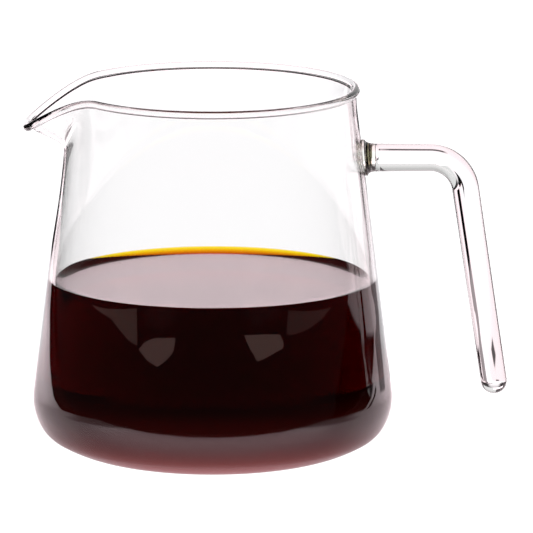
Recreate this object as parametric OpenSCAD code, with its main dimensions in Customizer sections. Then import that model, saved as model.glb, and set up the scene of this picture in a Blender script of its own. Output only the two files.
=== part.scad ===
// Glass coffee server: a blown conical body with a beaded rim and a pouring lip pulled out of
// its wall, and a solid bent rod handle that is sealed to the wall. Sizes are in millimetres.
// The body stands on the table at z = 0 with its axis on Z. The lip points to -X, the handle to +X.

/* [Body] */
// Height of the rim above the table
body_h = 131.4; // [118:0.1:145]
// Outer radius at the table of the straight wall, carried down past the rounded heel
foot_r = 65.8; // [62:0.1:72]
// Lean of the straight wall from upright, in degrees
wall_lean = 6.9; // [5.5:0.1:8]
// Thickness of the wall at the rim, measured level
rim_wall = 1.5; // [1.2:0.1:2]
// Thickness of the wall at the heel, measured level
heel_wall = 3.1; // [2.2:0.1:3.6]
// Thickness of the floor above the resting ring
floor_t = 3.4; // [2.6:0.1:4.5]
// Diameter of the bead round the rim
bead_d = 2.7; // [2.4:0.1:3.4]
// Outward flare of the wall just under the rim
rim_flare = 0.5; // [0:0.1:1]
// Height of the flared stretch under the rim
flare_h = 9; // [6:0.5:14]

/* [Heel] */
// Radius of the curve from the resting ring up into the heel
sole_r = 45; // [38:1:50]
// Turn of the sole curve, in degrees
sole_turn = 30; // [26:1:34]
// Radius of the heel, the tightest curve
heel_r = 13; // [10:0.5:16]
// Radius of the slow curve from the heel into the straight wall
shoulder_r = 19; // [16:0.5:30]
// Turn of the slow curve, in degrees
shoulder_turn = 37; // [28:1:42]
// Rise of the hollow under the floor
hollow_h = 1; // [0.5:0.1:1.5]
// Radius of the hollow under the floor, inside the resting ring
hollow_r = 27; // [20:1:29]

/* [Lip] */
// Reach of the lip beyond the rim circle
lip_reach = 15.7; // [10:0.1:18]
// Droop of the lip below the rim
lip_drop = 11.3; // [8:0.1:12]
// How late the droop sets in towards the tip, 1 for evenly with the reach
droop_late = 1.15; // [1:0.05:1.3]
// Turn from the tip of the lip to where it leaves the rim circle, in degrees
lip_turn = 38; // [34:1:42]
// Turn over which it swings out of the rim circle, on either side of the swing's middle
lip_swing = 15; // [8:1:15]
// Turn from the tip of the lip to where its blunt end starts to fall back
tip_turn = 5.5; // [4:0.5:7]
// Turn over which the blunt end rounds off, on either side of that place
tip_swing = 2.5; // [2:0.5:3.5]
// Depth of the throat, where the wall starts to bend out, below the rim at the tip
throat_depth = 17.6; // [16:0.2:22]
// Depth of the bend below the rim where the lip leaves the rim circle
shoulder_depth = 9; // [7:0.5:12]

/* [Handle] */
// Diameter of the handle rod where it meets its seal
rod_d = 9.9; // [8.5:0.1:11]
// Diameter of the rod round the bend
bend_d = 9.5; // [8:0.1:11]
// Diameter of the rod at its free end
tip_d = 9.1; // [8:0.1:11]
// Depth of the level arm's centre line below the top of the rim
arm_depth = 25.5; // [22:0.1:32]
// Distance from the body's axis to the corner of the handle's centre lines
handle_reach = 87.3; // [82:0.1:96]
// Radius of the bend on its centre line
bend_r = 12.7; // [10:0.1:16]
// Lean of the leg from upright, outward at its foot, in degrees
leg_lean = 8.4; // [5:0.1:10]
// Height of the leg's lowest point above the table
leg_clear = 21.5; // [12:0.5:30]

/* [Seal] */
// Diameter of the seal where it spreads on the wall
seal_d = 12.8; // [11.6:0.1:14]
// Length of the seal from the wall to the clean rod
seal_l = 4.3; // [3.8:0.1:6]
// Length of the seal's round foot before it starts to narrow
seal_foot = 1.1; // [1:0.1:1.6]
// Height of the swelling that the seal leaves on the inner face of the wall
swell_h = 0.5; // [0.3:0.1:0.8]

/* [Hidden] */

// Turns that name a quarter and a half circle
quarter = 90;
half = 2 * quarter;

// Smoothness: steps of a full circle, of each heel curve, of the flare and of the hollow
$fn = 128;
curve_steps = 10;
flare_steps = 6;
hollow_steps = 8;

// The lofted half of the rim: steps across the lip, along each plain side and round the bead
lip_steps = 44;
side_steps = 16;
bead_steps = 10;
// Steps over the throat's bend, and over the stretches below and above it
bend_steps = 6;
plain_steps = 2;
slope_steps = 4;

// Small allowances: the bead's lap into the wall, the lofted half's lap into the turned half and
// its inset there, so that no facet stands proud, the straight rods' lap into the bend and how much
// thinner they are there, and a step for finding slopes
bead_lap = 0.05;
seam_lap = 0.6;
loft_inset = 0.035;
rod_lap = 0.2;
rod_step = 0.03;
probe = 0.02;

// Half height of the throat's bend as a share of the slope above it, and the plain stretch kept
// under the lowest bend as a share of the throat's depth
bend_share = 0.22;
seam_share = 0.12;

bead_r = bead_d / 2;
rim_z = body_h - bead_r;
flare_z = rim_z - flare_h;
arm_z = body_h - arm_depth;
throat_z = rim_z - throat_depth;
tip_z = rim_z - lip_drop;
seam_z = throat_z - (tip_z - throat_z) * bend_share - throat_depth * seam_share;
loft_z = seam_z - seam_lap;

// The wall: level thickness and radii at a height
wall_slope = tan(wall_lean);
function wall_t(z) = heel_wall + (rim_wall - heel_wall) * z / rim_z;
function flare(z) = z <= flare_z ? 0 : rim_flare * pow((z - flare_z) / flare_h, 2);
function outer_r(z) = foot_r - wall_slope * z + flare(z);
function inner_r(z) = outer_r(z) - wall_t(z);
inner_foot_r = foot_r - heel_wall;
inner_slope = wall_slope + (rim_wall - heel_wall) / rim_z;

bead_x = inner_r(rim_z) + bead_r - bead_lap;

function direction(turn) = [cos(turn), sin(turn)];
function arc(centre, r, from, to, steps) =
    [for (i = [0 : steps]) centre + r * direction(from + (to - from) * i / steps)];

// The rounded heel as three tangent curves, from the floor line at floor_z up to a straight wall
// that has the radius wall_r at the table and the given slope
function heel_curve(floor_z, wall_r, slope, sole, heel, shoulder) =
    let (
        top_turn = atan(slope),
        heel_from = sole_turn - quarter,
        heel_to = top_turn - shoulder_turn,
        to_heel = (sole - heel) * direction(heel_from),
        to_shoulder = to_heel + (heel - shoulder) * direction(heel_to),
        top = to_shoulder + shoulder * direction(top_turn),
        sole_x = wall_r - slope * (floor_z + sole + top[1]) - top[0],
        start = [sole_x, floor_z + sole]
    )
    concat(
        arc(start, sole, -quarter, heel_from, curve_steps),
        arc(start + to_heel, heel, heel_from, heel_to, curve_steps),
        arc(start + to_shoulder, shoulder, heel_to, top_turn, curve_steps)
    );

outer_heel = heel_curve(0, foot_r, wall_slope, sole_r, heel_r, shoulder_r);
inner_heel = heel_curve(floor_t, inner_foot_r, inner_slope,
                        sole_r - floor_t, heel_r - heel_wall, shoulder_r - heel_wall);

flare_zs = [for (i = [0 : flare_steps]) flare_z + flare_h * i / flare_steps];
hollow = [for (i = [0 : hollow_steps])
    let (share = i / hollow_steps) [hollow_r * share, hollow_h * (1 - share * share)]];
outer_wall = [for (z = flare_zs) [outer_r(z), z]];
inner_wall = [for (z = flare_zs) [inner_r(z), z]];

function backwards(list) = [for (i = [len(list) - 1 : -1 : 0]) list[i]];

// The turned body: half section of the glass, rim bead included
module body_section() {
    polygon(concat(hollow, outer_heel, outer_wall, backwards(inner_wall),
                   backwards(inner_heel), [[0, floor_t]]));
    translate([bead_x, rim_z]) circle(r = bead_r);
}

// A slope that starts softly at zero, within blend on either side
function soft_slope(x, blend) = x <= -blend ? 0 : x >= blend ? x : pow(x + blend, 2) / (4 * blend);

// Share of the lip's full reach at a turn from its tip: it swings out of the rim circle, runs
// straight, and rounds into a blunt end
swing_turn = lip_turn - lip_swing;
function lip_rise(turn) = soft_slope(swing_turn - abs(turn), lip_swing)
                        - soft_slope(tip_turn - abs(turn), tip_swing);
function lip_share(turn) = lip_rise(turn) / lip_rise(0);
function lip_top_z(turn) = rim_z - lip_drop * pow(lip_share(turn), droop_late);
function lip_bend_z(turn) =
    rim_z - shoulder_depth - (throat_depth - shoulder_depth) * lip_share(turn);
function lip_bend_h(turn) = (lip_top_z(turn) - lip_bend_z(turn)) * bend_share;

// Radius of the wall's inner face at a turn from the tip and a height
function lip_inner_r(turn, z) =
    let (
        top = lip_top_z(turn),
        blend = lip_bend_h(turn),
        span = top - lip_bend_z(turn),
        rise = inner_r(rim_z) + lip_reach * lip_share(turn) - inner_r(top)
    )
    inner_r(z) + rise * soft_slope(z - lip_bend_z(turn), blend) / span;

function lip_point(turn, z) =
    let (r = lip_inner_r(turn, z)) [-r * cos(turn), -r * sin(turn), z];
function unit(v) = v / norm(v);

// Level outward direction, and the wall's outward normal, levelled where the wall is plain
function outward(turn) = [-cos(turn), -sin(turn), 0];
function lip_normal(turn, z) =
    let (
        along = lip_point(turn + probe, z) - lip_point(turn - probe, z),
        up = lip_point(turn, z) - lip_point(turn, z - probe),
        n = unit(cross(along, up)),
        plain_lean = -atan((inner_r(z) - inner_r(z - probe)) / probe),
        out = n * outward(turn),
        rest = n - out * outward(turn) - [0, 0, n[2]]
    )
    unit(rest + (out * cos(plain_lean) + n[2] * sin(plain_lean)) * outward(turn)
         + [0, 0, n[2] * cos(plain_lean) - out * sin(plain_lean)]);

// Heights of one section's rings, from the seam up to the last one under the bead
function lip_heights(turn) =
    let (
        bend = lip_bend_z(turn),
        blend = lip_bend_h(turn),
        top = lip_top_z(turn) - bead_r
    )
    concat(
        [for (i = [0 : plain_steps - 1]) loft_z + (bend - blend - loft_z) * i / plain_steps],
        [for (i = [0 : bend_steps - 1]) bend - blend + 2 * blend * i / bend_steps],
        [for (i = [0 : slope_steps]) bend + blend + (top - bend - blend) * i / slope_steps]
    );

// Turns round the bead between the wall's outer and inner faces
loft_bead_r = bead_r - loft_inset;
outer_gap = rim_wall - loft_inset - bead_r + bead_lap;
inner_gap = bead_r - bead_lap - loft_inset;
bead_from = -acos(outer_gap / loft_bead_r);
bead_to = half + acos(inner_gap / loft_bead_r);

// One section of the lofted wall: up its outer face, round the bead and down its inner face
function lip_section(turn) =
    let (
        zs = lip_heights(turn),
        top = lip_top_z(turn),
        out = lip_normal(turn, top),
        along = lip_point(turn + probe, lip_top_z(turn + probe))
              - lip_point(turn - probe, lip_top_z(turn - probe)),
        up = unit(cross(out, along)),
        middle = lip_point(turn, top) + out * (bead_r - bead_lap)
    )
    concat(
        [for (z = zs) lip_point(turn, z) + lip_normal(turn, z) * (wall_t(z) - loft_inset)],
        [for (i = [0 : bead_steps])
            let (a = bead_from + (bead_to - bead_from) * i / bead_steps)
            middle + loft_bead_r * (out * cos(a) + up * sin(a))],
        [for (z = backwards(zs)) lip_point(turn, z) + lip_normal(turn, z) * loft_inset]
    );

loft_turn = quarter + atan(seam_lap / bead_x);
lip_turns = concat(
    [for (i = [0 : side_steps - 1]) -loft_turn + (loft_turn - lip_turn) * i / side_steps],
    [for (i = [0 : lip_steps]) lip_turn * (2 * i / lip_steps - 1)],
    [for (i = [1 : side_steps]) lip_turn + (loft_turn - lip_turn) * i / side_steps]
);

// The lofted half of the rim, with the lip pulled out of its middle
module lip_loft() {
    sections = [for (turn = lip_turns) lip_section(turn)];
    rings = len(sections);
    ring = len(sections[0]);
    levels = len(lip_heights(0));
    points = [for (section = sections) for (p = section) p];
    sides = [for (i = [0 : rings - 2]) for (j = [0 : ring - 1])
        let (k = (j + 1) % ring)
        [i * ring + j, i * ring + k, (i + 1) * ring + k, (i + 1) * ring + j]];
    // An end is a strip between the wall's two faces, and a fan over the bead
    end = concat(
        [for (j = [0 : levels - 2]) [j, j + 1, ring - 2 - j, ring - 1 - j]],
        [concat([ring - levels], [for (j = [levels - 1 : levels + bead_steps]) j])]
    );
    first = [for (face = end) backwards(face)];
    last = [for (face = end) [for (j = face) (rings - 1) * ring + j]];
    polyhedron(points, concat(sides, first, last));
}

// Swelling of the inner wall behind the seal: a shallow cap square to the wall
module seal_swelling() {
    cap_r = (pow(seal_d / 2, 2) + pow(swell_h, 2)) / (2 * swell_h);
    translate([inner_r(arm_z), 0, arm_z]) rotate([0, quarter - wall_lean, 0]) intersection() {
        translate([0, 0, cap_r - swell_h]) sphere(r = cap_r);
        translate([0, 0, -2 * swell_h]) cylinder(h = 2 * swell_h + wall_t(arm_z) / 2, d = seal_d);
    }
}

// Borosilicate body with its heel, rim bead and pulled lip
module vessel() {
    reach = foot_r + lip_reach;
    color([0.86, 0.92, 0.92, 0.4]) union() {
        difference() {
            rotate_extrude() body_section();
            translate([-reach, -reach, seam_z]) cube([reach, 2 * reach, body_h]);
        }
        lip_loft();
        seal_swelling();
    }
}

// The straight wall's outer cone, which the seal is fitted to
module wall_cone(from_z, to_z) {
    translate([0, 0, from_z])
        cylinder(h = to_z - from_z, r1 = outer_r(from_z), r2 = outer_r(to_z));
}

seal_x = outer_r(arm_z);
rod_x = seal_x + seal_l;

// Flared seal that joins the rod to the wall
module handle_seal() {
    flare_r = (seal_d - rod_d) / 2;
    flare_l = seal_l - seal_foot;
    color([0.62, 0.68, 0.55, 0.6]) difference() {
        translate([seal_x, 0, arm_z]) rotate([0, quarter, 0]) rotate_extrude()
            polygon(concat(
                [[0, -heel_wall], [seal_d / 2, -heel_wall]],
                [for (i = [0 : curve_steps])
                    let (a = quarter * i / curve_steps)
                    [seal_d / 2 - flare_r * sin(a), seal_l - flare_l * cos(a)]],
                [[0, seal_l]]
            ));
        wall_cone(arm_z - seal_d, arm_z + seal_d);
    }
}

// Bent glass rod: level arm, bend and leaning leg with a melted round end
module handle() {
    turn = quarter - leg_lean;
    setback = bend_r * tan(turn / 2);
    bend_x = handle_reach - setback;
    arm_l = bend_x - rod_x;
    leg_l = (arm_z - leg_clear - tip_d / 2) / cos(leg_lean) - setback;
    straight_d = bend_d - rod_step;
    color([0.86, 0.92, 0.92, 0.4]) union() {
        translate([rod_x, 0, arm_z]) rotate([0, quarter, 0])
            cylinder(h = arm_l + rod_lap, d1 = rod_d, d2 = straight_d);
        translate([bend_x, 0, arm_z - bend_r]) rotate([quarter, 0, 0]) rotate([0, 0, leg_lean])
            rotate_extrude(angle = turn) translate([bend_r, 0]) circle(d = bend_d);
        translate([handle_reach, 0, arm_z]) rotate([0, half - leg_lean, 0])
            translate([0, 0, setback]) {
                translate([0, 0, -rod_lap])
                    cylinder(h = leg_l + rod_lap, d1 = straight_d, d2 = tip_d - rod_step);
                translate([0, 0, leg_l]) sphere(d = tip_d);
            }
    }
}

vessel();
handle();
handle_seal();
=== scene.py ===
from math import acosh, atan, atan2, cos, degrees, hypot, pi, radians, sin, sqrt, tan

import bpy
from mathutils import Matrix, Vector


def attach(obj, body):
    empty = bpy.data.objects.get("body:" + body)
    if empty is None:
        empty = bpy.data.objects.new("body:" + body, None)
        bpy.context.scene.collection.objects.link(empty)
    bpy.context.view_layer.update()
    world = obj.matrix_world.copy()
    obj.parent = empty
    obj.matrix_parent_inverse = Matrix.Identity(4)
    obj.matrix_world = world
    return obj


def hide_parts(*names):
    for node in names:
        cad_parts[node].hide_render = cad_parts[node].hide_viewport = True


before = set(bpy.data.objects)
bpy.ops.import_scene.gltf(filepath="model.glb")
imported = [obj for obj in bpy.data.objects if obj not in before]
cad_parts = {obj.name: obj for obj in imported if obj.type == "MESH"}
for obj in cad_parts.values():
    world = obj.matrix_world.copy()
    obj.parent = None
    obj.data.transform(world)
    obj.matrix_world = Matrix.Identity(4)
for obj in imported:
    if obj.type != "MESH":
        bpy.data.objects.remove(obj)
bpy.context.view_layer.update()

# Vessel
# A body of borosilicate glass, blown and turned, with a thick rounded heel, a wall that thins
# upwards, a fire-polished bead round the rim and a pouring lip pulled out of the hot wall.
MM = 0.001  # sizes are in millimetres and become metres where a mesh takes them
BODY_H, FOOT_R, WALL_LEAN = 131.399, 65.79, radians(6.9)  # wall's line, drawn on to the table
RIM_WALL, HEEL_WALL, FLOOR_T = 1.5, 3.1, 3.4  # how thick the glass is
BEAD_R, RIM_FLARE, FLARE_H = 1.35, 0.5, 9.0  # the bead, and the slight flare under it
BEAD_FILLET = 0.3  # curve between the bead and the wall under it
SOLE_R, SOLE_TURN, HEEL_R = 45.0, radians(30), 13.0  # from the resting ring out to the heel
SHOULDER_R, SHOULDER_TURN = 19.0, radians(37)  # slow curve from the heel into the wall
HOLLOW_H, HOLLOW_R = 1.0, 27.0  # pushed up under the floor's middle
LIP_REACH, LIP_DROP, DROOP_LATE = 15.62, 11.3, 1.15  # how far the tip is drawn out and down
LIP_TURN, LIP_SWING, TIP_TURN, TIP_SWING = 38.0, 15.0, 5.5, 2.5  # degrees round the rim
THROAT_DEPTH, SHOULDER_DEPTH, BEND_SHARE = 17.6, 9.0, 0.5  # where the wall bends into the lip
ARM_DEPTH, SEAL_R, SWELL_H = 25.5, 6.4, 0.8  # the handle's arm under the rim, and its seal
COFFEE_TOP = 63.0  # where the coffee's edge meets the wall
ROUND_STEPS = 288
CELL = 2 * pi / ROUND_STEPS  # the turn of one step round the vessel
SEAL_CELLS = 5  # steps from the seal's middle to its edge
HEEL_STEPS, FLOOR_STEPS, FILLET_STEPS, BEAD_STEPS = (10, 16, 12), 6, 6, 22
WET_STEPS, DRY_STEPS, TOP_STEPS = 12, 9, 30  # up to the coffee's edge, the seal and the rim
WELD = 0.002 * MM  # points nearer than this are one

RIM_Z = BODY_H - BEAD_R
ARM_Z = BODY_H - ARM_DEPTH
SLOPE = tan(WALL_LEAN)
INNER_SLOPE = SLOPE + (RIM_WALL - HEEL_WALL) / RIM_Z


def outer_r(z):
    """The outer face's radius at a height on the wall."""
    flare = RIM_FLARE * (max(0.0, z - RIM_Z + FLARE_H) / FLARE_H) ** 2
    return FOOT_R - SLOPE * z + flare


def inner_r(z):
    """The inner face's radius, where the wall thins evenly from the heel to the rim."""
    return outer_r(z) - HEEL_WALL - (RIM_WALL - HEEL_WALL) * z / RIM_Z


def arc(centre, r, start, end, steps):
    """Points along an arc of the half section, both ends included."""
    turns = [start + (end - start) * i / steps for i in range(steps + 1)]
    return [(centre[0] + r * cos(t), centre[1] + r * sin(t)) for t in turns]


def heel_curve(floor_z, wall_r, slope, sole, heel, shoulder):
    """Floor curve, heel and shoulder as tangent arcs, up to the straight wall."""
    top_turn = atan(slope)
    heel_from, heel_to = SOLE_TURN - pi / 2, top_turn - SHOULDER_TURN
    to_heel = Vector((cos(heel_from), sin(heel_from))) * (sole - heel)
    to_shoulder = to_heel + Vector((cos(heel_to), sin(heel_to))) * (heel - shoulder)
    top = to_shoulder + Vector((cos(top_turn), sin(top_turn))) * shoulder
    start = Vector((wall_r - slope * (floor_z + sole + top.y) - top.x, floor_z + sole))
    return (arc(start, sole, -pi / 2, heel_from, HEEL_STEPS[0])[:-1]
            + arc(start + to_heel, heel, heel_from, heel_to, HEEL_STEPS[1])[:-1]
            + arc(start + to_shoulder, shoulder, heel_to, top_turn, HEEL_STEPS[2]))


def steps_between(start, end, count):
    """Equal steps from start to end, both included."""
    return [start + (end - start) * i / count for i in range(count + 1)]


seal_step = outer_r(ARM_Z) * CELL
seal_zs = [ARM_Z + seal_step * i for i in range(-SEAL_CELLS - 2, SEAL_CELLS + 3)]
outer_heel = heel_curve(0, FOOT_R, SLOPE, SOLE_R, HEEL_R, SHOULDER_R)
inner_heel = heel_curve(FLOOR_T, FOOT_R - HEEL_WALL, INNER_SLOPE,
                        SOLE_R - FLOOR_T, HEEL_R - HEEL_WALL, SHOULDER_R - HEEL_WALL)


def wall_heights(start, end):
    """Heights of the wall's rings, with one at the coffee's edge and even cells round the seal."""
    return (steps_between(start, COFFEE_TOP, WET_STEPS)[1:]
            + steps_between(COFFEE_TOP, seal_zs[0], DRY_STEPS)[1:]
            + seal_zs[1:] + steps_between(seal_zs[-1], end, TOP_STEPS)[1:])


bead = Vector((inner_r(RIM_Z) + BEAD_R, RIM_Z))
fillet_x = outer_r(RIM_Z) - bead.x + BEAD_FILLET
fillet = bead + Vector((fillet_x, -sqrt((BEAD_R + BEAD_FILLET) ** 2 - fillet_x ** 2)))
fillet_turn = atan2(bead.y - fillet.y, bead.x - fillet.x)
section = [(HOLLOW_R * k, HOLLOW_H * (1 - k ** 2)) for k in steps_between(0, 1, FLOOR_STEPS)]
section += outer_heel
section += [(outer_r(z), z) for z in wall_heights(outer_heel[-1][1], fillet.y)[:-1]]
section += arc(fillet, BEAD_FILLET, pi, fillet_turn, FILLET_STEPS)[:-1]
section += arc(bead, BEAD_R, fillet_turn - pi, pi, BEAD_STEPS)[:-1]
section += [(inner_r(z), z) for z in reversed(wall_heights(inner_heel[-1][1], RIM_Z))]
section += list(reversed(inner_heel))
section += [(inner_heel[0][0] * k, FLOOR_T) for k in steps_between(1, 0, FLOOR_STEPS)[1:]]


def turned(name, points, steps):
    """A half section drawn by extruding one point from place to place, then spun round Z."""
    bpy.ops.object.select_all(action="DESELECT")
    bpy.ops.mesh.primitive_plane_add(size=MM)
    piece = bpy.context.object
    piece.name = piece.data.name = name
    bpy.ops.object.mode_set(mode="EDIT")
    bpy.ops.mesh.merge(type="CENTER")
    here = Vector((0, 0, 0))
    for i, (r, z) in enumerate(points):
        there = Vector((r, 0, z)) * MM
        if i:
            bpy.ops.mesh.extrude_region_move(TRANSFORM_OT_translate={"value": there - here})
        else:
            bpy.ops.transform.translate(value=there)
        here = there
    bpy.ops.mesh.select_all(action="SELECT")
    bpy.ops.mesh.spin(steps=steps, angle=2 * pi, center=(0, 0, 0), axis=(0, 0, 1))
    bpy.ops.mesh.select_all(action="SELECT")
    bpy.ops.mesh.remove_doubles(threshold=WELD)
    bpy.ops.mesh.normals_make_consistent(inside=False)
    bpy.ops.mesh.select_all(action="DESELECT")
    bpy.ops.object.mode_set(mode="OBJECT")
    bpy.ops.object.shade_smooth()
    return piece


vessel = turned("vessel_blown_body", section, ROUND_STEPS)


def soft_slope(x, blend):
    """Nothing below zero and x above it, with a smooth bend of that width between."""
    return 0.0 if x <= -blend else x if x >= blend else (x + blend) ** 2 / (4 * blend)


def lip_rise(turn):
    """How far the rim swings out at a turn from the tip, which is blunt."""
    return (soft_slope(LIP_TURN - LIP_SWING - abs(turn), LIP_SWING)
            - soft_slope(TIP_TURN - abs(turn), TIP_SWING))


def lip_share(turn):
    """1 at the lip's tip and 0 where the rim is round."""
    return lip_rise(turn) / lip_rise(0)


def lip_top(turn):
    """Height of the bead's middle, which droops towards the tip."""
    return RIM_Z - LIP_DROP * lip_share(turn) ** DROOP_LATE


def lip_bend(turn):
    """Height at which the wall bends out into the lip."""
    return RIM_Z - SHOULDER_DEPTH - (THROAT_DEPTH - SHOULDER_DEPTH) * lip_share(turn)


BEND_END = RIM_Z - THROAT_DEPTH - (THROAT_DEPTH - LIP_DROP) * BEND_SHARE
SEAM_Z = BEND_END - 2.0  # no point below this moves with the lip


def lip_face(turn, z):
    """A point on the inner face of the wall with the lip pulled out. The lip's tip is at turn 0."""
    top, bend = lip_top(turn), lip_bend(turn)
    rise = inner_r(RIM_Z) + LIP_REACH * lip_share(turn) - inner_r(top)
    r = inner_r(z) + rise * soft_slope(z - bend, (top - bend) * BEND_SHARE) / (top - bend)
    a = radians(turn)
    return Vector((-r * cos(a), -r * sin(a), z))


PROBE = 0.02  # small step, in degrees or millimetres, for the direction of a face


def lip_out(turn, z):
    """The wall's outward direction there, kept level where the wall is plain."""
    level = Vector((-cos(radians(turn)), -sin(radians(turn)), 0))
    along = lip_face(turn + PROBE, z) - lip_face(turn - PROBE, z)
    up = lip_face(turn, z) - lip_face(turn, z - PROBE)
    n = along.cross(up).normalized()
    lean = -atan((inner_r(z) - inner_r(z - PROBE)) / PROBE)
    out = n.dot(level)
    rest = n - out * level - Vector((0, 0, n.z))
    return (rest + (out * cos(lean) + n.z * sin(lean)) * level
            + Vector((0, 0, n.z * cos(lean) - out * sin(lean)))).normalized()


def eased(x):
    """A smooth step from 0 to 1."""
    x = min(1.0, max(0.0, x))
    return x * x * (3 - 2 * x)


# The edit tools can't draw a lip out of a wall, so its points are moved in code. Drawing the lip
# pulled the wall under it in a little and thinned it there.
DENT, INNER_DENT, DENT_Z, DENT_H, DENT_TURN = 0.7, 0.2, 96.0, 26.0, 42.0
for v in vessel.data.vertices:
    x, y, z = v.co / MM
    up, round_it = (z - DENT_Z) / DENT_H, degrees(atan2(-y, -x)) / DENT_TURN
    if abs(up) < 1 and abs(round_it) < 1:
        depth = DENT if hypot(x, y) > (outer_r(z) + inner_r(z)) / 2 else INNER_DENT
        k = depth * ((1 - up * up) * (1 - round_it * round_it)) ** 2 / hypot(x, y)
        v.co.x, v.co.y = x * (1 - k) * MM, y * (1 - k) * MM

# The wall swings out along the lip's face, and the bead keeps its round section on top of it.
BEAD_ZONE, BEAD_BLEND = 4.5, 2.3  # how far under the bead its zone starts, and fades in
for v in vessel.data.vertices:
    x, y, z = v.co / MM
    r, turn = hypot(x, y), degrees(atan2(-y, -x))
    if z > SEAM_Z and abs(turn) < LIP_TURN:
        top = lip_top(turn)
        out = lip_out(turn, top)
        left, right = turn - PROBE, turn + PROBE
        along = lip_face(right, lip_top(right)) - lip_face(left, lip_top(left))
        up = out.cross(along).normalized()
        part = (z - SEAM_Z) / (RIM_Z - SEAM_Z)
        stretch = (top - SEAM_Z) / (RIM_Z - SEAM_Z)
        face_z = top - (RIM_Z - z) * (stretch + (up.z - stretch) * eased(part))
        on_wall = lip_face(turn, face_z) + lip_out(turn, face_z) * (r - inner_r(z))
        on_rim = lip_face(turn, top) + out * (r - inner_r(RIM_Z)) + up * (z - RIM_Z)
        v.co = on_wall.lerp(on_rim, eased((z - RIM_Z + BEAD_ZONE) / BEAD_BLEND)) * MM

# The seal's heat left a low swelling on the inner face. On the outer face the mesh's square of
# cells round the seal is drawn into a circle, so that the joint has a round edge.
ROUND_OUT, SWELL_FADE, NEAR_SEAL = 0.39, 0.25, SEAL_CELLS + 6
swell_r = (SEAL_R ** 2 + SWELL_H ** 2) / (2 * SWELL_H)
for v in vessel.data.vertices:
    x, y, z = v.co / MM
    r, turn = hypot(x, y), atan2(y, x)
    if x < 0 or abs(turn) > CELL * NEAR_SEAL or abs(z - ARM_Z) > seal_step * NEAR_SEAL:
        continue
    if r > (outer_r(z) + inner_r(z)) / 2:
        u, w = turn / CELL, (z - ARM_Z) / seal_step
        square, circle = max(abs(u), abs(w)) / SEAL_CELLS, hypot(u, w)
        if 0 < circle and square < 1 + ROUND_OUT:
            pull = 1.0 if square <= 1 else 1 - eased((square - 1) / ROUND_OUT)
            reach = square * SEAL_R / (circle * seal_step)
            k = 1 + (reach - 1) * pull
            u, w = u * k, w * k
            z = ARM_Z + w * seal_step
            a = u * seal_step / outer_r(z)
            v.co = Vector((outer_r(z) * cos(a), outer_r(z) * sin(a), z)) * MM
    else:
        d = hypot(turn * r, (z - ARM_Z) / cos(WALL_LEAN))
        if d < SEAL_R:
            depth = sqrt(swell_r ** 2 - d * d) - swell_r + SWELL_H
            depth *= 1 - SWELL_FADE * eased(d / SEAL_R)
            v.co = (Vector((x, y, z)) - Vector((x, y, 0)).normalized() * depth) * MM


def linear(code):
    """sRGB hex to linear red, green, blue and alpha."""
    parts = [int(code[i:i + 2], 16) / 255 for i in (1, 3, 5)]
    return [p / 12.92 if p <= 0.04045 else ((p + 0.055) / 1.055) ** 2.4 for p in parts] + [1.0]


def add_node(material, kind, settings=None, links=None):
    """One node with its settings and the sockets that feed it."""
    tree = material.node_tree
    node = tree.nodes.new(kind)
    for key, value in (settings or {}).items():
        if isinstance(key, int) or key in node.inputs:
            node.inputs[key].default_value = value
        else:
            setattr(node, key, value)
    for key, source in (links or {}).items():
        tree.links.new(source, node.inputs[key])
    return node


def blank_material(name):
    """A material with no nodes yet."""
    material = bpy.data.materials.new(name)
    material.use_nodes = True
    material.node_tree.nodes.clear()
    return material


def fire_polished(name, ior, tint, wave_mm, wave_depth_mm):
    """Borosilicate smoothed by the flame: clear and sharp in its reflections, with no scratches,
    and only a long faint waviness that makes straight reflections swim a little."""
    material = blank_material(name)
    place = add_node(material, "ShaderNodeTexCoord").outputs["Object"]
    wave = add_node(material, "ShaderNodeTexNoise",
                    {"Scale": 1 / (wave_mm * MM), "Detail": 1.0, "Roughness": 0.4},
                    {"Vector": place})
    bump = add_node(material, "ShaderNodeBump", {"Strength": 1.0, "Distance": wave_depth_mm * MM},
                    {"Height": wave.outputs["Fac"]})
    glass = add_node(material, "ShaderNodeBsdfPrincipled",
                     {"Base Color": linear(tint), "Roughness": 0.0, "IOR": ior,
                      "Transmission Weight": 1.0}, {"Normal": bump.outputs["Normal"]})
    add_node(material, "ShaderNodeOutputMaterial", None, {"Surface": glass.outputs["BSDF"]})
    return material


# Borosilicate fused to borosilicate in the flame: no surface is left inside the joint, so light
# goes through it undisturbed and nothing shows.
fused_joint = blank_material("borosilicate_fused_joint")
through = add_node(fused_joint, "ShaderNodeBsdfTransparent")
add_node(fused_joint, "ShaderNodeOutputMaterial", None, {"Surface": through.outputs["BSDF"]})

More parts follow.
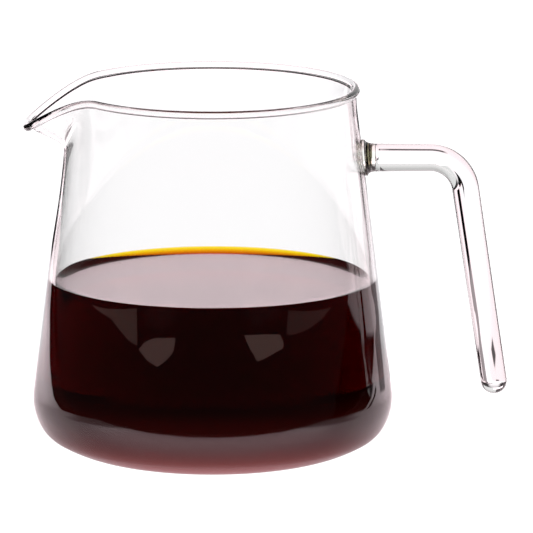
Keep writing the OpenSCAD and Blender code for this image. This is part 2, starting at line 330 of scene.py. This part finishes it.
# Blown borosilicate, almost without colour. Where coffee wets it the two bend light nearly alike,
# so the inner face all but vanishes there and the coffee seems to reach the outside.
GLASS_IOR, COFFEE_IOR = 1.472, 1.333
BLOWN_WAVE, FLAME_WAVE_DEPTH = 22, 0.012
body_glass = fire_polished("borosilicate_blown", GLASS_IOR, "#fcfdfc",
                           BLOWN_WAVE, FLAME_WAVE_DEPTH)
wet_glass = fire_polished("borosilicate_wetted_by_coffee", GLASS_IOR / COFFEE_IOR, "#ffffff",
                          BLOWN_WAVE, FLAME_WAVE_DEPTH)
for material in (body_glass, wet_glass, fused_joint):
    vessel.data.materials.append(material)
OUTER_SKIN = 0.3  # how far in from the outer face a point still counts as on it
middle = Vector((0, 0, COFFEE_TOP * MM))
seal_middle = Vector((outer_r(ARM_Z), 0, ARM_Z)) * MM
for face in vessel.data.polygons:
    x, y, z = face.center / MM
    on_outside = hypot(x, y) > outer_r(z) - OUTER_SKIN
    if z < COFFEE_TOP and face.normal.dot(middle - face.center) > 0:
        face.material_index = 1
    elif (face.center - seal_middle).length < SEAL_R * MM and on_outside:
        face.material_index = 2
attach(vessel, "root")
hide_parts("vessel")

# Seal
# The collar of glass that flowed out where the hot rod was pressed on the wall and melted in: a
# short foot on the wall that sweeps in to the rod. The flame left it faintly olive.
ROD_D, SEAL_L, SEAL_FOOT = 9.9, 4.3, 1.1
RING, SWEEP_STEPS = 64, 14
FOOT_RINGS, UNDER_RINGS = (0.66, 0.33, 0.0), (0.75, 0.5, 0.25)  # shares of its depth and radius
SEAL_X = outer_r(ARM_Z)
ROD_X = SEAL_X + SEAL_L


def start_ring(name, r, x):
    """A ring of points across the rod's axis, the start of a piece that is drawn out of it."""
    bpy.ops.object.select_all(action="DESELECT")
    bpy.ops.mesh.primitive_circle_add(vertices=RING, radius=r * MM, rotation=(0, pi / 2, 0),
                                      location=(x * MM, 0, ARM_Z * MM))
    piece = bpy.context.object
    piece.name = piece.data.name = name
    bpy.ops.object.transform_apply(location=True, rotation=True, scale=True)
    bpy.ops.object.mode_set(mode="EDIT")
    bpy.ops.mesh.select_all(action="SELECT")
    return piece


def draw_on(step, scale, centre):
    """Draws the selected ring on by a step, then widens or narrows it about a centre."""
    bpy.ops.mesh.extrude_region_move(TRANSFORM_OT_translate={"value": step})
    bpy.ops.transform.resize(value=(scale, scale, scale), center_override=centre)


seal = start_ring("handle_seal_collar", ROD_D / 2, ROD_X)
flare = [(SEAL_FOOT + (SEAL_L - SEAL_FOOT) * (1 - cos(t)), SEAL_R - (SEAL_R - ROD_D / 2) * sin(t))
         for t in steps_between(pi / 2, 0, SWEEP_STEPS)]
flare += [(SEAL_FOOT * k, SEAL_R) for k in FOOT_RINGS]
flare += [(0.0, SEAL_R * k) for k in UNDER_RINGS]
for (l0, r0), (l1, r1) in zip(flare, flare[1:]):
    draw_on(((l1 - l0) * MM, 0, 0), r1 / r0, ((SEAL_X + l1) * MM, 0, ARM_Z * MM))
bpy.ops.mesh.merge(type="CENTER")
bpy.ops.mesh.select_all(action="SELECT")
bpy.ops.mesh.remove_doubles(threshold=WELD)
bpy.ops.mesh.select_all(action="DESELECT")
bpy.ops.object.mode_set(mode="OBJECT")
SAME_PLACE, ON_WALL = 0.001, 0.02  # how near counts as there
SQUARE_ON = 0.99  # a face across the rod's axis
for v in seal.data.vertices:  # the foot follows the round of the wall
    x, y, z = v.co / MM
    near = 1 - eased((x - SEAL_X) / SEAL_L)
    v.co.x = (x + (sqrt(outer_r(z) ** 2 - y * y) - SEAL_X) * near) * MM
    v.select = abs(x - ROD_X) < SAME_PLACE
bpy.ops.object.mode_set(mode="EDIT")
bpy.ops.mesh.edge_face_add()
bpy.ops.mesh.select_all(action="SELECT")
bpy.ops.mesh.normals_make_consistent(inside=False)
bpy.ops.mesh.select_all(action="DESELECT")
bpy.ops.object.mode_set(mode="OBJECT")
bpy.ops.object.shade_smooth()

# Borosilicate melted together by hand: the same clear glass, with shorter and deeper waves where
# the flame softened it, and a dark olive ring in the neck where light crosses the most glass.
SEAL_WAVE, SEAL_WAVE_DEPTH = 5, 0.02
OLIVE_FROM, OLIVE_TO = 0.8, 2.4  # where the ring lies, out from the wall
for material in (fire_polished("borosilicate_flame_seal", GLASS_IOR, "#3a3720",
                               SEAL_WAVE, SEAL_WAVE_DEPTH), fused_joint,
                 fire_polished("borosilicate_seal_end", GLASS_IOR, "#f6f8f2",
                               SEAL_WAVE, SEAL_WAVE_DEPTH)):
    seal.data.materials.append(material)
for face in seal.data.polygons:
    x, y, z = face.center / MM
    if abs(hypot(x, y) - outer_r(z)) < ON_WALL or face.normal.x > SQUARE_ON:
        face.material_index = 1
    elif not OLIVE_FROM < x - SEAL_X < OLIVE_TO:
        face.material_index = 2
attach(seal, "root")
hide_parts("handle_seal")

# Handle
# A solid borosilicate rod, bent over the flame: a level arm, a tight elbow and a leg that leans
# out as the wall does. Its free end is melted round.
BEND_D, TIP_D = 9.5, 9.1  # the rod thins as it is drawn
NEARLY_SHUT = 0.001  # the end's last ring, as a share of the rod, before it is merged to a point
HANDLE_REACH, BEND_R, LEG_LEAN, LEG_CLEAR = 87.3, 12.7, radians(8.4), 21.5
ARM_RINGS, BEND_RINGS, LEG_RINGS, TIP_RINGS = 12, 32, 20, 14
bend_turn = pi / 2 - LEG_LEAN
setback = BEND_R * tan(bend_turn / 2)
bend_x = HANDLE_REACH - setback
leg_l = (ARM_Z - LEG_CLEAR - TIP_D / 2) / cos(LEG_LEAN) - setback
handle = start_ring("handle_bent_rod", ROD_D / 2, ROD_X)
arm_step = (bend_x - ROD_X) / ARM_RINGS
for i in range(ARM_RINGS):
    d0, d1 = (ROD_D + (BEND_D - ROD_D) * k / ARM_RINGS for k in (i, i + 1))
    draw_on((arm_step * MM, 0, 0), d1 / d0, ((ROD_X + arm_step * (i + 1)) * MM, 0, ARM_Z * MM))
bpy.ops.mesh.spin(steps=BEND_RINGS, angle=bend_turn, axis=(0, -1, 0),
                  center=(bend_x * MM, 0, (ARM_Z - BEND_R) * MM))
down = Vector((sin(LEG_LEAN), 0, -cos(LEG_LEAN)))
corner = Vector((HANDLE_REACH, 0, ARM_Z))
for i in range(LEG_RINGS):
    d0, d1 = (BEND_D + (TIP_D - BEND_D) * k / LEG_RINGS for k in (i, i + 1))
    there = corner + down * (setback + leg_l * (i + 1) / LEG_RINGS)
    draw_on(down * leg_l / LEG_RINGS * MM, d1 / d0, there * MM)
tip_turns = steps_between(0, pi / 2, TIP_RINGS)
for t0, t1 in zip(tip_turns, tip_turns[1:]):
    reach = TIP_D / 2 * (sin(t1) - sin(t0))
    there = corner + down * (setback + leg_l + TIP_D / 2 * sin(t1))
    draw_on(down * reach * MM, max(cos(t1), NEARLY_SHUT) / cos(t0), there * MM)
bpy.ops.mesh.merge(type="CENTER")
bpy.ops.mesh.select_all(action="SELECT")
bpy.ops.mesh.remove_doubles(threshold=WELD)
bpy.ops.mesh.select_all(action="DESELECT")
bpy.ops.object.mode_set(mode="OBJECT")
for v in handle.data.vertices:
    v.select = abs(v.co.x / MM - ROD_X) < SAME_PLACE
bpy.ops.object.mode_set(mode="EDIT")
bpy.ops.mesh.edge_face_add()
bpy.ops.mesh.select_all(action="SELECT")
bpy.ops.mesh.normals_make_consistent(inside=False)
bpy.ops.mesh.select_all(action="DESELECT")
bpy.ops.object.mode_set(mode="OBJECT")
bpy.ops.object.shade_smooth()

# Drawn borosilicate rod, bent and rounded in the flame: solid and clear, so it acts as a lens and
# gathers its surroundings in thin dark lines along both sides.
ROD_WAVE = 14
handle.data.materials.append(fire_polished("borosilicate_rod", GLASS_IOR, "#fbfcfb",
                                           ROD_WAVE, FLAME_WAVE_DEPTH))
handle.data.materials.append(fused_joint)
for face in handle.data.polygons:
    at_seal = face.center.x / MM < ROD_X + ON_WALL
    face.material_index = int(at_seal and face.normal.x < -SQUARE_ON)
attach(handle, "root")
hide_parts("handle")

# Coffee
# Black filter coffee that fills the vessel to nearly half its height. Its edge climbs the wall in
# a meniscus, thin enough there to glow orange, while the body of it is nearly black.
MENISCUS_H, CAPILLARY = 1.8, 2.45  # height at the wall, and the liquid's capillary length
COFFEE_GAP = 0.02  # keeps the coffee's face and the glass's apart
EDGE_STEPS, CROWDING = 16, 1.6  # rings up the meniscus, closest where it is flat
TOP_RINGS = (0.9, 0.7, 0.5, 0.3, 0.15, 0.0)  # shares of the open surface's radius
SHARP_EDGE = radians(25)  # the edge on the wall stays crisp
FACING_UP = 0.3  # least upward normal of the open surface, whose edge is steep
level = COFFEE_TOP - MENISCUS_H


def meniscus_reach(h):
    """How far from a tall wall a liquid stands h above its level."""
    return CAPILLARY * (acosh(2 * CAPILLARY / h) - sqrt(4 - (h / CAPILLARY) ** 2))


coffee_r = inner_r(COFFEE_TOP) - COFFEE_GAP
heights = [MENISCUS_H * (1 - k) ** CROWDING for k in steps_between(0, 1, EDGE_STEPS)[:-1]]
edge = [(coffee_r - meniscus_reach(h) + meniscus_reach(MENISCUS_H), level + h) for h in heights]
coffee_heel = heel_curve(FLOOR_T + COFFEE_GAP, FOOT_R - HEEL_WALL - COFFEE_GAP, INNER_SLOPE,
                         SOLE_R - FLOOR_T - COFFEE_GAP, HEEL_R - HEEL_WALL - COFFEE_GAP,
                         SHOULDER_R - HEEL_WALL - COFFEE_GAP)
coffee_section = [(coffee_heel[0][0] * k, FLOOR_T + COFFEE_GAP)
                  for k in steps_between(0, 1, FLOOR_STEPS)[:-1]]
coffee_section += coffee_heel
coffee_section += [(inner_r(z) - COFFEE_GAP, z)
                   for z in steps_between(coffee_heel[-1][1], COFFEE_TOP, WET_STEPS)[1:-1]]
coffee_section += edge
coffee_section += [(edge[-1][0] * k, level) for k in TOP_RINGS]
coffee = turned("coffee_filling", coffee_section, ROUND_STEPS)
bpy.ops.object.shade_smooth_by_angle(angle=SHARP_EDGE)
top_surface = coffee.data.attributes.new("open_surface", "FLOAT", "FACE")
for face in coffee.data.polygons:
    is_open = face.center.z / MM > level - COFFEE_GAP and face.normal.z > FACING_UP
    top_surface.data[face.index].value = float(is_open)

# Black filter coffee, brewed and at rest. Its open top is a still mirror. Below, its dye lets red
# through furthest: the thin edge at the back glows orange and the body is nearly black. It has no
# surface of its own against the glass. Near the floor its fine particles send back some of the red
# light that the lit table shines up into it, which a clear dye can't do. That light is painted on
# the side as a weak emitted red glow that fades upwards, over a fainter painted glow all over.
DYE = (0.046, 0.28, 6.0)  # taken out of red, green and blue light by each millimetre
# The painted glow: the height where it has its heel strength, how fast it fades upwards, that
# strength, and a fainter one all over.
PAINTED_GLOW_Z, PAINTED_GLOW_FADE, PAINTED_HEEL_GLOW, PAINTED_BODY_GLOW = 4.0, 4.2, 0.36, 0.0005
black_coffee = blank_material("coffee_black_filter")
share = add_node(black_coffee, "ShaderNodeAttribute",
                 {"attribute_name": "open_surface"}).outputs["Fac"]
still = add_node(black_coffee, "ShaderNodeBsdfPrincipled",
                 {"Base Color": linear("#ffffff"), "Roughness": 0.0, "IOR": COFFEE_IOR,
                  "Transmission Weight": 1.0})
clear = add_node(black_coffee, "ShaderNodeBsdfTransparent")
place = add_node(black_coffee, "ShaderNodeTexCoord").outputs["Object"]
height = add_node(black_coffee, "ShaderNodeSeparateXYZ", None, {"Vector": place}).outputs["Z"]
above = add_node(black_coffee, "ShaderNodeMath",
                 {"operation": "MULTIPLY_ADD", 1: -1 / (PAINTED_GLOW_FADE * MM), 2: PAINTED_GLOW_Z / PAINTED_GLOW_FADE},
                 {0: height})
fade = add_node(black_coffee, "ShaderNodeMath", {"operation": "EXPONENT"},
                {0: above.outputs["Value"]})
painted_glow_strength = add_node(black_coffee, "ShaderNodeMath",
                    {"operation": "MULTIPLY_ADD", 1: PAINTED_HEEL_GLOW, 2: PAINTED_BODY_GLOW},
                    {0: fade.outputs["Value"]})
# Painted light: the side emits a red glow, strongest at the floor and fading upwards, in place of
# table light scattered back by the coffee.
glow = add_node(black_coffee, "ShaderNodeEmission", {"Color": linear("#ff4530")},
                {"Strength": painted_glow_strength.outputs["Value"]})
side = add_node(black_coffee, "ShaderNodeAddShader", None,
                {0: clear.outputs["BSDF"], 1: glow.outputs["Emission"]})
surface = add_node(black_coffee, "ShaderNodeMixShader", None,
                   {"Fac": share, 1: side.outputs["Shader"], 2: still.outputs["BSDF"]})
dye = add_node(black_coffee, "ShaderNodeVolumeAbsorption",
               {"Color": [1 - taken / max(DYE) for taken in DYE] + [1.0],
                "Density": max(DYE) / MM})
add_node(black_coffee, "ShaderNodeOutputMaterial", None,
         {"Surface": surface.outputs["Shader"], "Volume": dye.outputs["Volume"]})
coffee.data.materials.append(black_coffee)
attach(coffee, "root")

# Stage
# A pale floor and white surroundings. What the glass reflects and bends is a lit white table with
# cards behind, windows and walls in front and a dim room. The camera doesn't see these, and they
# turn with it, so other views have the same light.
PAPER_WHITE = 1.2
light = blank_material("studio_light")
shade = add_node(light, "ShaderNodeAttribute", {"attribute_name": "glow"}).outputs["Color"]
lamp = add_node(light, "ShaderNodeEmission", {"Strength": 1.0}, {"Color": shade})
add_node(light, "ShaderNodeOutputMaterial", None, {"Surface": lamp.outputs["Emission"]})
lit = []


def glowing(piece, glow):
    """Lights a stage surface by a brightness that is worked out for each of its corners."""
    values = piece.data.attributes.new("glow", "FLOAT_COLOR", "POINT")
    for v in piece.data.vertices:
        values.data[v.index].color = (*glow(*(v.co / MM)), 1.0)
    piece.data.materials.append(light)
    piece.visible_camera = False
    lit.append(piece)


def tinted(brightness, code):
    """Light of one colour at a brightness, as a glow function gives it."""
    return [brightness * part for part in linear(code)[:3]]


def card(name, centre, size, turn, glow, cells=(1, 1)):
    """A flat sheet, standing when turn is an angle about Z and lying when it is None."""
    bpy.ops.object.select_all(action="DESELECT")
    bpy.ops.mesh.primitive_grid_add(x_subdivisions=cells[0], y_subdivisions=cells[1], size=MM)
    piece = bpy.context.object
    piece.name = piece.data.name = name
    place = Matrix.Identity(4)
    if turn is not None:
        place = Matrix.Rotation(radians(turn), 4, "Z") @ Matrix.Rotation(pi / 2, 4, "X")
    place = Matrix.Translation(Vector(centre) * MM) @ place @ Matrix.Diagonal((*size, 1, 1))
    piece.data.transform(place)
    glowing(piece, glow)
    return piece


def within(value, low, high, soft):
    """1 between low and high and 0 outside, with soft edges of that width."""
    return eased((value - low) / soft + 0.5) * eased((high - value) / soft + 0.5)


def fanned(sideways, y, low, high, soft):
    """Within a strip that widens with y. Low and high say how far sideways for each step back."""
    return within(sideways / max(1, y), low, high, soft)


def patch(x, y, sideways, back):
    """1 on a patch of the table and 0 off it. Each span is from, to and how soft its ends are."""
    return within(x, *sideways) * within(y, *back)


# The table's light in patches, sideways and towards the back.
FAR = 9000  # well past the end of the table
LIGHTER = [(0.8, (-FAR, -165, 110), (100, 330, 90)), (0.4, (-FAR, -205, 30), (400, FAR, 60)),
           (0.1, (180, FAR, 60), (250, FAR, 60)), (0.4, (135, 400, 50), (110, 200, 60))]
LIT_IN_FRONT, FRONT_LIFT = ((-125, 125, 70), (-200, -58, 40)), 0.85
WITHOUT_PINK = (-150, 200, 60), (200, FAR, 100)
PINK_IN_FRONT, FRONT_PINK = ((-85, 85, 70), (-200, -30, 40)), 0.9
PLAIN_LIGHT, PINK_LIGHT = Vector(linear("#fffcff")[:3]), Vector(linear("#ffedf2")[:3])
SHADE_R, SHADE_FADE = 50, 36  # the vessel's own shade on the table
CORNER_X, CORNER_FADE, CORNER_NEAR, CORNER_DEPTH = 90, 60, -120, 110  # the shaded front corners

# The white sheet on the table, whose sides step out and then slant, and the next sheets to it.
PAPER_EDGE = 5  # how soft the edge of a sheet looks
SHEET_LEFT, SHEET_RIGHT, SHEET_FRONT = -298, 258, -110
LEFT_STEP, LEFT_STEP_Y, LEFT_SLANT, LEFT_SLANT_Y = 14, 300, 0.2, 450
RIGHT_STEP, RIGHT_STEP_Y, RIGHT_SLANT_Y = 72, 160, 300
BESIDE_LEFT, BESIDE_RIGHT, BESIDE_BACK = 276, 299, 168
BEHIND_Y, BEHIND_SLANT, BEHIND_X, BEHIND_LIGHT = 285, 0.03, 330, 0.8

# Dark gaps that fan out behind the walls and the leg: how far sideways for each step back, the
# softness of their sides, and where they start and end.
WALL_X, LEG_X = 52, 95  # where the wall and the handle's leg stand sideways
LEFT_GAP, LEFT_GAP_Y = (0.115, 0.345, 0.02), (435, 820, 20)
RIGHT_GAP, RIGHT_GAP_Y = (0.15, 0.21, 0.02), (555, 1300, 20)
RIGHT_WIDER, RIGHT_WIDER_Y = 0.135, 720
LEG_GAP, LEG_GAP_Y = (0.34, 0.56, 0.03), (150, 820, 10)
LEG_WIDER, LEG_WIDER_Y = 0.1, (380, 480, 40)
LEG_NEAR, LEG_NEAR_Y = (0.08, 0.22), 330  # nearer than this both its sides lie further out
LEG_FAINT, LEG_DARK_Y = 0.7, 450
ARM_GAP, ARM_DARK = ((58, 84, 4), (143, 180, 6)), 0.9


def sheets(x, y):
    """The white sheet and the next ones to its right and behind, with dark between them."""
    left = SHEET_LEFT + LEFT_STEP * eased((y - LEFT_STEP_Y) / 50)
    left -= LEFT_SLANT * max(0, y - LEFT_SLANT_Y)
    right = SHEET_RIGHT + RIGHT_STEP * eased((y - RIGHT_STEP_Y) / 20) + max(0, y - RIGHT_SLANT_Y)
    beside = within(x, BESIDE_LEFT, BESIDE_RIGHT, PAPER_EDGE) * (y < BESIDE_BACK)
    behind = BEHIND_LIGHT * eased((y - BEHIND_Y - BEHIND_SLANT * (x - BEHIND_X)) / 25)
    light_on = max(eased((right - x) / PAPER_EDGE + 0.5), beside, behind)
    light_on *= eased((x - left) / PAPER_EDGE + 0.5)
    return light_on * eased((y - SHEET_FRONT) / PAPER_EDGE)


def between_gaps(x, y):
    """0 in the table's dark gaps. Bent by the glass, these are the lines along its pieces."""
    left_wall = fanned(-x - WALL_X, y, *LEFT_GAP) * within(y, *LEFT_GAP_Y)
    low, high, soft = RIGHT_GAP
    high += RIGHT_WIDER * eased((y - RIGHT_WIDER_Y) / 60)
    right_wall = fanned(x - WALL_X, y, low, high, soft) * within(y, *RIGHT_GAP_Y)
    low, high, soft = LEG_GAP
    near = eased((LEG_NEAR_Y - y) / 60)
    low += LEG_NEAR[0] * near
    high += LEG_NEAR[1] * near + LEG_WIDER * within(y, *LEG_WIDER_Y)
    leg = fanned(x - LEG_X, y, low, high, soft) * within(y, *LEG_GAP_Y)
    leg *= LEG_FAINT + (1 - LEG_FAINT) * eased((y - LEG_DARK_Y) / 50)
    arm = ARM_DARK * patch(x, y, *ARM_GAP)
    return (1 - left_wall) * (1 - right_wall) * (1 - leg) * (1 - arm)


def pinkness(x, y):
    """The light is faintly pink, most of all to the sides and in front."""
    return 1 - patch(x, y, *WITHOUT_PINK) + FRONT_PINK * patch(x, y, *PINK_IN_FRONT)


def table_glow(x, y, z):
    """A lit white table, lighter to the sides and shaded round the vessel."""
    k = PAPER_WHITE + sum(more * patch(x, y, sideways, back) for more, sideways, back in LIGHTER)
    k *= 1 + FRONT_LIFT * patch(x, y, *LIT_IN_FRONT)
    if y < 60:
        front = CORNER_NEAR + CORNER_DEPTH * eased((abs(x) - CORNER_X) / CORNER_FADE)
        k *= 0.5 + 0.5 * eased((hypot(x, y) - SHADE_R) / SHADE_FADE)
        k *= 0.4 + 0.6 * within(y, front, FAR, 50)
    k *= sheets(x, y) * between_gaps(x, y)
    return PLAIN_LIGHT.lerp(PINK_LIGHT, pinkness(x, y)) * k


SOFTBOX_LIGHT, FRAME_Z, FRAME_FADE = 2.2, 136, 6


def softbox_glow(x, y, z):
    """A pinkish soft box low behind the vessel, cut off by its frame at the top."""
    return tinted(SOFTBOX_LIGHT * (1 - eased((z - FRAME_Z) / FRAME_FADE)), "#ffeaf1")


def wall_glow(x, y, z):
    """A plain wall behind to the right, a little darker higher up."""
    return tinted(0.85 - 0.3 * eased((z - 140) / 170), "#ffffff")


card("table", (0, 595, -0.5), (900, 1410), None, table_glow, (225, 235))
card("table_far_right", (825, 595, -0.5), (750, 1410), None, table_glow, (50, 141))
card("softbox_behind", (0, 300, 118), (230, 46), 0, softbox_glow, (1, 12))
card("wall_behind_right", (240, 302, 305), (364, 420), 0, wall_glow, (1, 60))

FRONT = 420  # how far in front the windows stand


def window(name, outline, brightness, code):
    """A lit shape well in front: corners as degrees round from the camera's side, and height."""
    mesh = bpy.data.meshes.new(name)
    corners = [Vector((FRONT * sin(radians(turn)), -FRONT * cos(radians(turn)), z)) * MM
               for turn, z in outline]
    mesh.from_pydata(corners, [], [range(len(corners))])
    piece = bpy.data.objects.new(name, mesh)
    bpy.context.scene.collection.objects.link(piece)
    glowing(piece, lambda x, y, z: tinted(brightness, code))


window("window_left", [(-47, 55.5), (-43, 60), (-37, 63.5), (-23, 67), (-24, 62), (-27, 58.5),
                       (-34, 53.3), (-42, 53.7)], 1.05, "#ffd0c7")
window("window_right", [(20, 68.4), (32, 66.4), (43, 63), (46, 58.4), (45, 56.8), (36, 57.2),
                        (28, 57), (23, 63.3)], 1.05, "#ffd2c7")
window("wall_left", [(-86, 51), (-50, 70), (-48, 56.7), (-54, 55.8), (-61, 57.7), (-69, 56.5)],
       0.6, "#ffd5c9")
window("wall_right", [(50, 69.4), (84, 52), (76, 53), (63, 56), (51, 59.3), (48, 61.2)],
       0.35, "#ffd0c7")


DIM_ROOM = 0.03  # how bright the room is where nothing is lit


def room_glow(x, y, z):
    """A dim room with a bright backdrop behind and a pale ceiling."""
    x, y, z = Vector((x, y, z)).normalized()
    behind = eased((y - 0.93) / 0.05) * (1.1 - 0.4 * eased((z - 0.03) / 0.1))
    above = 0.6 * eased((z - 0.7) / 0.2)
    return tinted(DIM_ROOM + max(behind, above), "#fff9fc")


bpy.ops.object.select_all(action="DESELECT")
bpy.ops.mesh.primitive_uv_sphere_add(segments=72, ring_count=48, radius=9)
room = bpy.context.object
room.name = "studio_room"
glowing(room, room_glow)

bpy.ops.object.select_all(action="DESELECT")
bpy.ops.mesh.primitive_plane_add(size=40, location=(0, 0, -0.001))
floor = bpy.context.object
floor.name = "floor"
floor_white = blank_material("floor_pale")
pale = add_node(floor_white, "ShaderNodeEmission",
                {"Color": linear("#ffffff"), "Strength": PAPER_WHITE})
add_node(floor_white, "ShaderNodeOutputMaterial", None, {"Surface": pale.outputs["Emission"]})
floor.data.materials.append(floor_white)
floor.visible_glossy = floor.visible_transmission = floor.visible_diffuse = False

world = bpy.data.worlds.new("studio_air")
bpy.context.scene.world = world
world.use_nodes = True
world.node_tree.nodes.clear()
air = add_node(world, "ShaderNodeBackground",
               {"Color": linear("#ffffff"), "Strength": PAPER_WHITE})
add_node(world, "ShaderNodeOutputWorld", None, {"Surface": air.outputs["Background"]})

# Camera
# A long lens from well back that looks down by about eleven degrees, so that the rim and the
# coffee show as flat ellipses and upright lines stay upright.
DISTANCE, ELEVATION, TARGET_Z = 4.5, radians(10.91), 0.062  # in metres, as is the next line
FRAME_WIDTH, SIDEWAYS, UPWARDS = 0.1876, 0.01895, 0.00482
SENSOR = 36
lens = bpy.data.cameras.new("camera")
lens.sensor_width = SENSOR
lens.lens = SENSOR * DISTANCE / FRAME_WIDTH
lens.clip_start, lens.clip_end = 0.1, 50
camera = bpy.data.objects.new("camera", lens)
bpy.context.scene.collection.objects.link(camera)
back = Vector((0, -cos(ELEVATION), sin(ELEVATION)))
up = Vector((0, sin(ELEVATION), cos(ELEVATION)))
camera.location = Vector((SIDEWAYS, 0, TARGET_Z)) + back * DISTANCE + up * UPWARDS
camera.rotation_euler = (pi / 2 - ELEVATION, 0, 0)
bpy.context.scene.camera = camera
for piece in lit:  # the stage keeps its place behind and round the object, as seen by the camera
    turn_with_camera = piece.constraints.new("COPY_ROTATION")
    turn_with_camera.target = camera
    turn_with_camera.use_x = turn_with_camera.use_y = False

# Light crosses up to a dozen faces of glass and coffee before it leaves them.
scene = bpy.context.scene
scene.view_settings.view_transform = "Standard"
scene.cycles.max_bounces = 32
scene.cycles.transmission_bounces = 32
scene.cycles.glossy_bounces = 24
scene.cycles.transparent_max_bounces = 32
